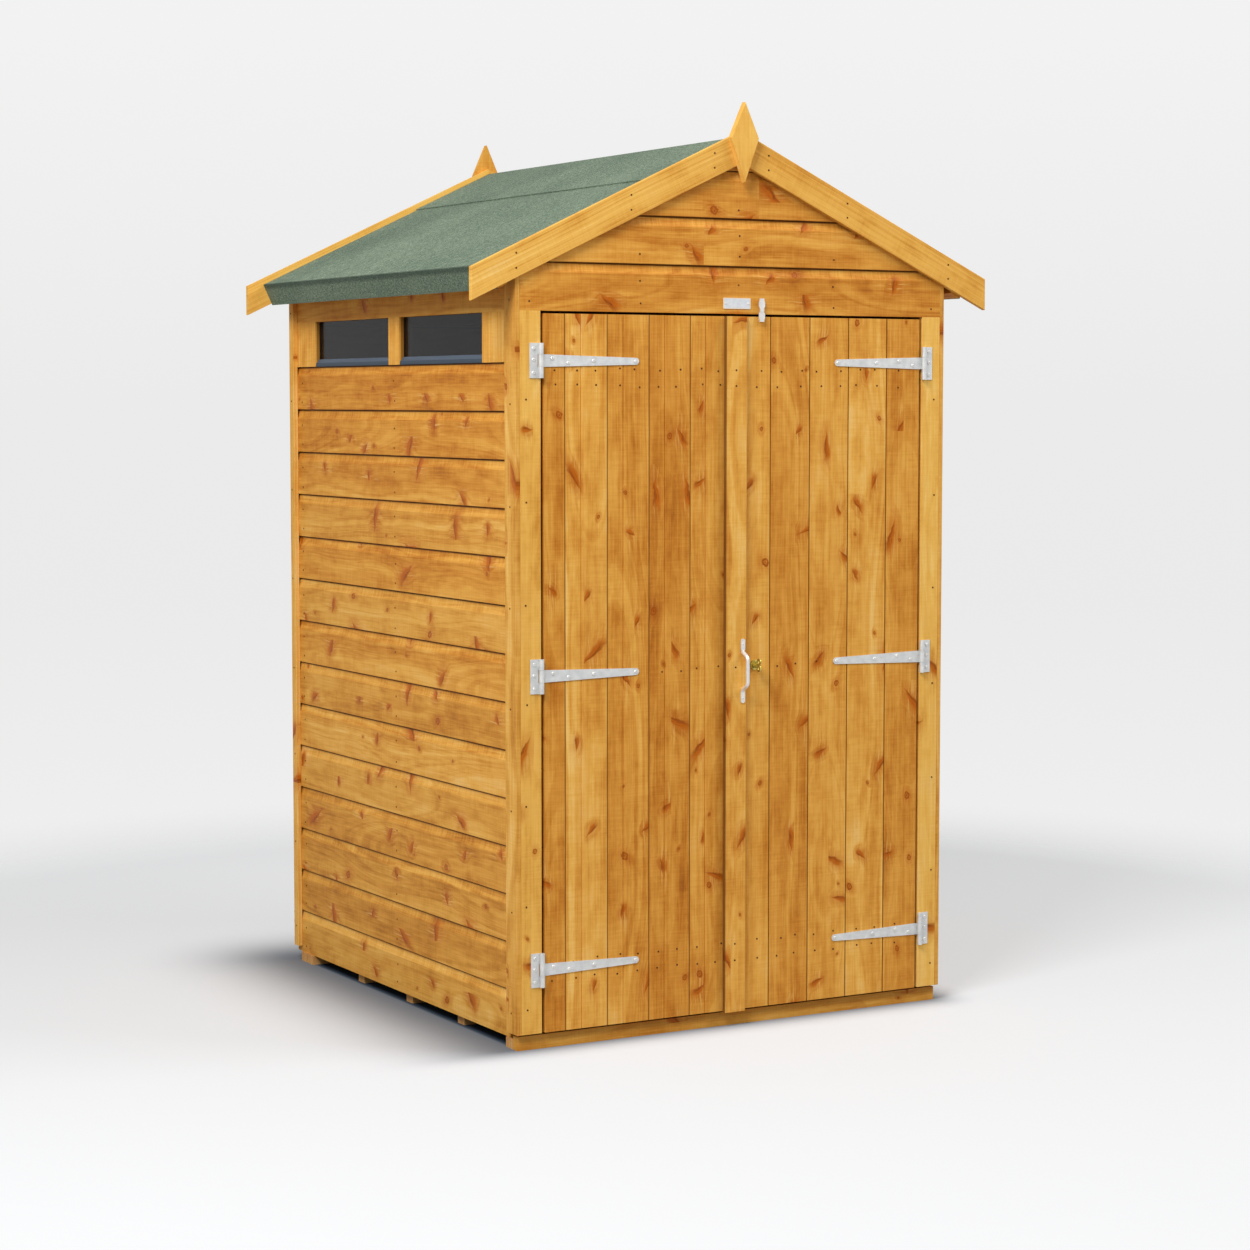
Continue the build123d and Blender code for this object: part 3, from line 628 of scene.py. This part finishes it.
# Painted shade along the fascia's top, under the door leaves
one_board("front_fascia", LEVEL_FRONT, 233.0,
          stained=stained_edge("front_fascia", 2, 1, depth=0.022, amount=0.22))
one_board("bearers", LEVEL_FRONT, 235.0, tones=SAWN)
one_board("left_eaves_batten", LEVEL_SIDE, 237.0)
one_board("right_eaves_batten", LEVEL_SIDE, 239.0)
one_board("roof_purlins", LEVEL_SIDE, 241.0, tones=SAWN)
one_board("left_leaf_ledges", ledge_grain("left_leaf_ledges"), 243.0, tones=SAWN)
one_board("right_leaf_ledges", ledge_grain("right_leaf_ledges"), 245.0, tones=SAWN)
for number, node in enumerate(("left_roof_boards", "right_roof_boards")):
    finish(node, timber(node + "_wood", ROOF_BOARDS, SAWN, board_cover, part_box(node)[0].y,
                        250.0 + 20 * number))

half_stud = stud_wide / 2
frame_low, frame_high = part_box("left_wall_frame")
side_posts = [(frame_low.y + half_stud, half_stud), (middle_stud, half_stud),
              (frame_high.y - half_stud, half_stud)]
for number, node in enumerate(("left_wall_frame", "right_wall_frame")):
    finish(node, timber(node + "_wood", frame_grain(side_posts, 1), SAWN, stud_wide,
                        seed=300.0 + 20 * number))
for number, node in enumerate(("front_wall_frame", "back_wall_frame")):
    corner_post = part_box(node)[1].x - half_stud
    middle_half = half_stud if node == "back_wall_frame" else 0.0
    end_posts = [(-corner_post, half_stud), (0.0, middle_half), (corner_post, half_stud)]
    finish(node, timber(node + "_wood", frame_grain(end_posts, 0), SAWN, stud_wide,
                        seed=350.0 + 20 * number))

felt = felt_finish()
zinc = zinc_finish("dull_zinc", srgb(196, 198, 198), srgb(222, 223, 221), rough=0.42)
bright_zinc = zinc_finish("bright_zinc", srgb(214, 213, 210), srgb(236, 234, 230), rough=0.26)
for node in ("left_felt", "right_felt", "ridge_felt"):
    finish(node, felt)
for node in ("left_hinge_plates", "right_hinge_plates", "left_hinge_straps", "right_hinge_straps"):
    finish(node, zinc)
for node in ("pull_handle", "turn_button"):
    finish(node, bright_zinc)
finish("door_lock", brass_finish())
finish("window_glass", glass_finish())
finish("window_sills", bar_finish())
finish("name_plate", plate_finish())


# Small fixings, modelled once and copied
def only(piece):
    """Selects one piece and makes it active."""
    bpy.ops.object.select_all(action="DESELECT")
    piece.select_set(True)
    bpy.context.view_layer.objects.active = piece


def pick(piece, test):
    """In edit mode, selects the faces for which test(face) holds."""
    bpy.ops.mesh.select_mode(type="FACE")
    mesh = bmesh.from_edit_mesh(piece.data)
    for face in mesh.faces:
        face.select = test(face)
    mesh.select_flush_mode()
    bmesh.update_edit_mesh(piece.data)


def stub(radius, height, corners):
    """Short round bar across zero height, with its top face selected in edit mode."""
    bpy.ops.object.select_all(action="DESELECT")
    bpy.ops.mesh.primitive_cylinder_add(vertices=corners, radius=radius, depth=2 * height)
    bpy.ops.object.mode_set(mode="EDIT")
    pick(bpy.context.object, lambda face: face.normal.z > 0.9)
    return bpy.context.object


def nail_head(radius, height):
    """Round head with a dished top, facing up from the surface at zero height."""
    head = stub(radius, height, 10)
    bpy.ops.mesh.inset(thickness=radius * 0.3)
    bpy.ops.transform.translate(value=(0, 0, -height * 0.5))
    pick(head, lambda face: face.normal.z < -0.9)
    bpy.ops.mesh.delete(type="FACE")
    bpy.ops.object.mode_set(mode="OBJECT")
    return head


def screw_head(radius, height):
    """Domed head with a cross cut in it."""
    head = stub(radius, height, 20)
    bpy.ops.mesh.bevel(offset=height * 0.8, segments=3)
    bpy.ops.object.mode_set(mode="OBJECT")
    for turn in (0, math.pi / 2):
        bpy.ops.mesh.primitive_cube_add(size=1, location=(0, 0, height), rotation=(0, 0, turn))
        cutter = bpy.context.object
        cutter.scale = (radius * 1.15, radius * 0.24, height)
        cut = head.modifiers.new("cross", "BOOLEAN")
        cut.object = cutter
        cut.operation = "DIFFERENCE"
        only(head)
        bpy.ops.object.modifier_apply(modifier=cut.name)
        bpy.data.objects.remove(cutter)
    return head


def spread(master, name, places, facing, material, body):
    """Copies of a small piece at each place, facing one way, joined into one mesh on a body."""
    turn = Vector(facing).to_track_quat("Z", "Y").to_matrix().to_4x4()
    copies = []
    for place in places:
        copy = master.copy()
        copy.data = master.data.copy()
        copy.data.transform(Matrix.Translation(place) @ turn)
        bpy.context.collection.objects.link(copy)
        copies.append(copy)
    piece = copies[0]
    only(piece)
    for copy in copies:
        copy.select_set(True)
    bpy.ops.object.join()
    piece.name = name
    piece.data.materials.clear()
    piece.data.materials.append(material)
    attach(piece, body)


draw = random.Random(4)
nails = nail_finish()
nail = nail_head(radius=0.0023, height=0.0005)
screw = screw_head(radius=0.0042, height=0.0018)
small_screw = screw_head(radius=0.0024, height=0.0010)

# Rows of nails in metres: up from the foot of a leaf's ledges and down from their top, up each
# shiplap board, down each bargeboard and out along it, and from nail to nail down a post
LEDGE_ROWS_UP, LEDGE_ROWS_DOWN = (0.026, 0.066), (0.064, 0.027)
SHIPLAP_ROWS = (0.020, 0.070)
BARGEBOARD_ROWS, BARGEBOARD_COLUMNS = (0.020, 0.054), (0.075, 0.30, 0.60)
POST_STEP = 0.235

# Where the nails of a leaf stand across each board, as shares of its width, how near its edges and
# its cover strip they may come, and how near a wall's and a post's nails come to the top
LEAF_NAILS_ACROSS = (0.24, 0.72)
LEAF_EDGE, STRIP_EDGE = 0.012, 0.006
WALL_TOP, POST_TOP = 0.05, 0.03

# Screw holes of a T-hinge in metres: out from the strap's root and off its middle line, up and
# down from the plate's middle, and in from its edge
STRAP_HOLES = ((0.021, 0.0055), (0.062, -0.0045), (0.129, 0.0), (0.241, 0.0))
PLATE_HOLES = (-0.028, 0.002, 0.028)
PLATE_HOLE_IN = 0.010


def strayed(value, by):
    return value + draw.uniform(-by, by)


def leaf_nails(side):
    """Nails through the boards of a leaf into its ledges: two rows at the outer ledges, one in
    the middle."""
    boards_low, boards_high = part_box(side + "_leaf_boards")
    low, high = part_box(side + "_leaf_ledges")
    strip_low, strip_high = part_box("cover_strip")
    rows = [*(low.z + up for up in LEDGE_ROWS_UP), middle(side + "_leaf_ledges", 2),
            *(high.z - down for down in LEDGE_ROWS_DOWN)]
    places = []
    joint = first_door_joint - 6 * board_cover
    while joint < boards_high.x:
        for share in LEAF_NAILS_ACROSS:
            x = joint + share * board_cover
            on_boards = boards_low.x + LEAF_EDGE < x < boards_high.x - LEAF_EDGE
            covered = side == "right" and x < strip_high.x + STRIP_EDGE
            if on_boards and low.x < x < high.x and not covered:
                places += [(strayed(x, 0.009), front_face, strayed(row, 0.004)) for row in rows]
        joint += board_cover
    if side == "right":
        places += [(middle("cover_strip", 0), strip_low.y, row) for row in rows]
    spread(nail, side + "_leaf_nails", places, FORWARD, nails, side + "_leaf")


def wall_nails(node, facing, columns):
    """Places of two nails in each shiplap board at every column, on the wall's outer face."""
    low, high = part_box(node)
    places = []
    bottom = low.z
    while bottom < high.z - WALL_TOP:
        for column in columns:
            for up in SHIPLAP_ROWS:
                along, level = strayed(column, 0.003), strayed(bottom + up, 0.003)
                if facing[0]:
                    places.append((low.x if facing[0] < 0 else high.x, along, level))
                else:
                    places.append((along, low.y if facing[1] < 0 else high.y, level))
        bottom += board_cover
    return places


def under_roof(x):
    """Height of the roof boards' underside over x."""
    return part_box("back_cladding")[1].z - abs(x) * math.tan(roof_pitch)


def shiplap_nails():
    """Nails of the four walls; on a gable they keep clear of the roof."""
    columns = (frame_low.y + 0.012, middle_stud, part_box("left_cladding")[1].y - 0.045)
    places = wall_nails("left_cladding", LEFTWARD, columns)
    spread(nail, "left_wall_nails", places, LEFTWARD, nails, "shed")
    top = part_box("right_cladding")[1].z - 0.03
    places = [place for place in wall_nails("right_cladding", RIGHTWARD, columns)
              if place[2] < top]
    spread(nail, "right_wall_nails", places, RIGHTWARD, nails, "shed")
    gables = (("back_cladding", "back_wall_nails", BACKWARD, (-0.55, 0.0, 0.55), 0.05),
              ("front_gable_boards", "front_gable_nails", FORWARD,
               (-0.56, -0.27, 0.0, 0.27, 0.56), 0.10))
    for node, name, facing, columns, clear in gables:
        places = [place for place in wall_nails(node, facing, columns)
                  if place[2] < under_roof(place[0]) - clear]
        spread(nail, name, places, facing, nails, "shed")


def post_nails():
    """Nails down the door posts and the corner trims."""
    places = []
    low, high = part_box("left_door_post")
    out = abs(middle("left_door_post", 0) - 0.012)
    level = low.z + 0.06
    while level < high.z - POST_TOP:
        for side in (-1, 1):
            places.append((strayed(side * out, 0.002), low.y, strayed(level, 0.004)))
        level += POST_STEP
    spread(nail, "door_post_nails", places, FORWARD, nails, "shed")
    for side, facing in (("left", LEFTWARD), ("right", RIGHTWARD)):
        places = []
        for where in ("front", "back"):
            trim = f"{where}_{side}_trim"
            low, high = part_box(trim)
            face = low.x if side == "left" else high.x
            level = low.z + 0.05
            while level < high.z - POST_TOP:
                places.append((face, strayed(middle(trim, 1), 0.003), strayed(level, 0.004)))
                level += POST_STEP
        spread(nail, side + "_trim_nails", places, facing, nails, "shed")


def bargeboard_nails():
    """Pairs of nails through each bargeboard, near its ends and at the purlin."""
    for where, facing in (("front", FORWARD), ("back", BACKWARD)):
        low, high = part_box(where + "_left_bargeboard")
        face = low.y if where == "front" else high.y
        places = [(side * out, face, high.z - out * math.tan(roof_pitch) - down)
                  for out in BARGEBOARD_COLUMNS for down in BARGEBOARD_ROWS for side in (-1, 1)]
        spread(nail, where + "_bargeboard_nails", places, facing, nails, "shed")


def hinge_screws():
    """Screws of the six T-hinges: four along each strap and three down each plate."""
    face = front_face - strap_thick
    root = abs(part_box("left_leaf_boards")[0].x)
    plate_out = abs(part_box("left_hinge_plates")[0].x) - PLATE_HOLE_IN
    for side, name in ((-1, "left"), (1, "right")):
        places = [(side * (root - out), face, height - side * off)
                  for height in hinge_heights for out, off in STRAP_HOLES]
        spread(screw, name + "_strap_screws", places, FORWARD, bright_zinc, name + "_leaf")
        places = [(side * plate_out, face, height + up)
                  for height in hinge_heights for up in PLATE_HOLES]
        spread(screw, name + "_plate_screws", places, FORWARD, bright_zinc, "shed")


def furniture_screws():
    """Screws in the handle's feet and the bare plate."""
    low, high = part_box("pull_handle")
    places = [(middle("pull_handle", 0), high.y - 0.0025, level)
              for level in (low.z + 0.012, high.z - 0.012)]
    spread(small_screw, "handle_screws", places, FORWARD, bright_zinc, "right_leaf")
    low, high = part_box("name_plate")
    places = [(x, low.y, middle("name_plate", 2)) for x in (low.x + 0.006, high.x - 0.006)]
    spread(small_screw, "plate_screws", places, FORWARD, bright_zinc, "shed")


leaf_nails("left")
leaf_nails("right")
shiplap_nails()
post_nails()
bargeboard_nails()
hinge_screws()
furniture_screws()
for master in (nail, screw, small_screw):
    bpy.data.objects.remove(master)


# Camera, light and the floor
camera_place = Vector((-3.63566, -6.48350, 1.50661))
camera_yaw = math.radians(29.686)
camera_pitch = math.radians(4.473)

camera_data = bpy.data.cameras.new("camera")
camera_data.lens = 83.05
camera_data.sensor_width = 36
camera_data.clip_end = 100
camera = bpy.data.objects.new("camera", camera_data)
camera.location = camera_place
camera.rotation_euler = (math.pi / 2 - camera_pitch, 0, -camera_yaw)
bpy.context.collection.objects.link(camera)
bpy.context.scene.camera = camera
bpy.context.scene.view_settings.view_transform = "Standard"


def soft_light(name, place, size, power):
    """Square lamp that faces the middle of the shed."""
    shed_middle = Vector((0, 0, 1.0))
    lamp = bpy.data.lights.new(name, "AREA")
    lamp.size = size
    lamp.energy = power
    light = bpy.data.objects.new(name, lamp)
    light.location = place
    light.rotation_euler = (shed_middle - Vector(place)).to_track_quat("-Z", "Y").to_euler()
    bpy.context.collection.objects.link(light)


def backdrop():
    """Pale surroundings: the camera, mirrors and glass see a soft gradient, and the shed gets
    even light."""
    even_strength = 0.36
    # Height of the look, 0 straight down and 1 straight up, and the grey seen there
    greys = ((0.36, 0.955), (0.42, 0.865), (0.465, 0.825), (0.50, 0.83), (0.558, 0.885),
             (0.60, 0.91))
    world = bpy.data.worlds.new("pale_room")
    bpy.context.scene.world = world
    world.use_nodes = True
    world.node_tree.nodes.clear()
    room = Tree(world.node_tree)
    rays = room.node("ShaderNodeLightPath").outputs
    mirrored = room.maths("MAXIMUM", rays["Is Glossy Ray"], rays["Is Transmission Ray"])
    looked_at = room.maths("MAXIMUM", rays["Is Camera Ray"], mirrored)
    _, _, z = room.split(room.node("ShaderNodeTexCoord").outputs["Generated"])
    seen = room.ramp(z * 0.5 + 0.5, *((height, (grey, grey, grey, 1)) for height, grey in greys))
    even = room.node("ShaderNodeBackground", {"Color": (1, 1, 1, 1), "Strength": even_strength})
    shown = room.node("ShaderNodeBackground", {"Color": seen})
    mix = room.node("ShaderNodeMixShader", {0: looked_at, 1: even.outputs[0], 2: shown.outputs[0]})
    room.node("ShaderNodeOutputWorld", {"Surface": mix.outputs[0]})


def pale_floor():
    """Floor with painted shadow, darkest against and under the shed, that also holds the shed's
    shadow and fades into the surroundings."""
    bpy.ops.object.select_all(action="DESELECT")
    bpy.ops.mesh.primitive_plane_add(size=24)
    floor = bpy.context.object
    floor.name = "pale_floor"
    paint = Finish("floor_paint")
    x, y, _ = paint.split(paint.place)
    low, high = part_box("floor_boards")
    left = paint.maths("MAXIMUM", low.x - x, 0.0)
    right = paint.maths("MAXIMUM", x - high.x, 0.0)
    front = paint.maths("MAXIMUM", low.y - y, 0.0)
    back = paint.maths("MAXIMUM", y - high.y, 0.0)
    # The painted shadow reaches only a third as far on the right and at the front
    gap = paint.maths("SQRT", left ** 2.0 + back ** 2.0 + right ** 2.0 * 9.0 + front ** 2.0 * 9.0)
    painted_contact_shadow = paint.maths("MAXIMUM", paint.rise(gap, 0.6, 0.0) ** 2.5 * 0.80,
                          paint.rise(gap, 0.05, 0.0))
    colour = paint.blend(painted_contact_shadow, srgb(223, 225, 228), srgb(56, 66, 78))
    paint.set(Base_Color=colour, Roughness=0.9, Specular_IOR_Level=0.0)
    faded = paint.maths("MAXIMUM", paint.rise(paint.distance(x, y), 1.2, 3.6),
                        paint.rise(gap, 0.02, 0.5) * 0.5)
    clear = paint.node("ShaderNodeBsdfTransparent")
    mix = paint.node("ShaderNodeMixShader",
                     {0: faded, 1: paint.shader.outputs[0], 2: clear.outputs[0]})
    paint.feed(paint.nodes["Material Output"], "Surface", mix.outputs[0])
    floor.data.materials.append(paint.material)


soft_light("left_light", (-4.4, -3.2, 5.8), size=2.6, power=430)
soft_light("right_light", (3.8, -2.8, 5.2), size=2.8, power=165)
backdrop()
pale_floor()
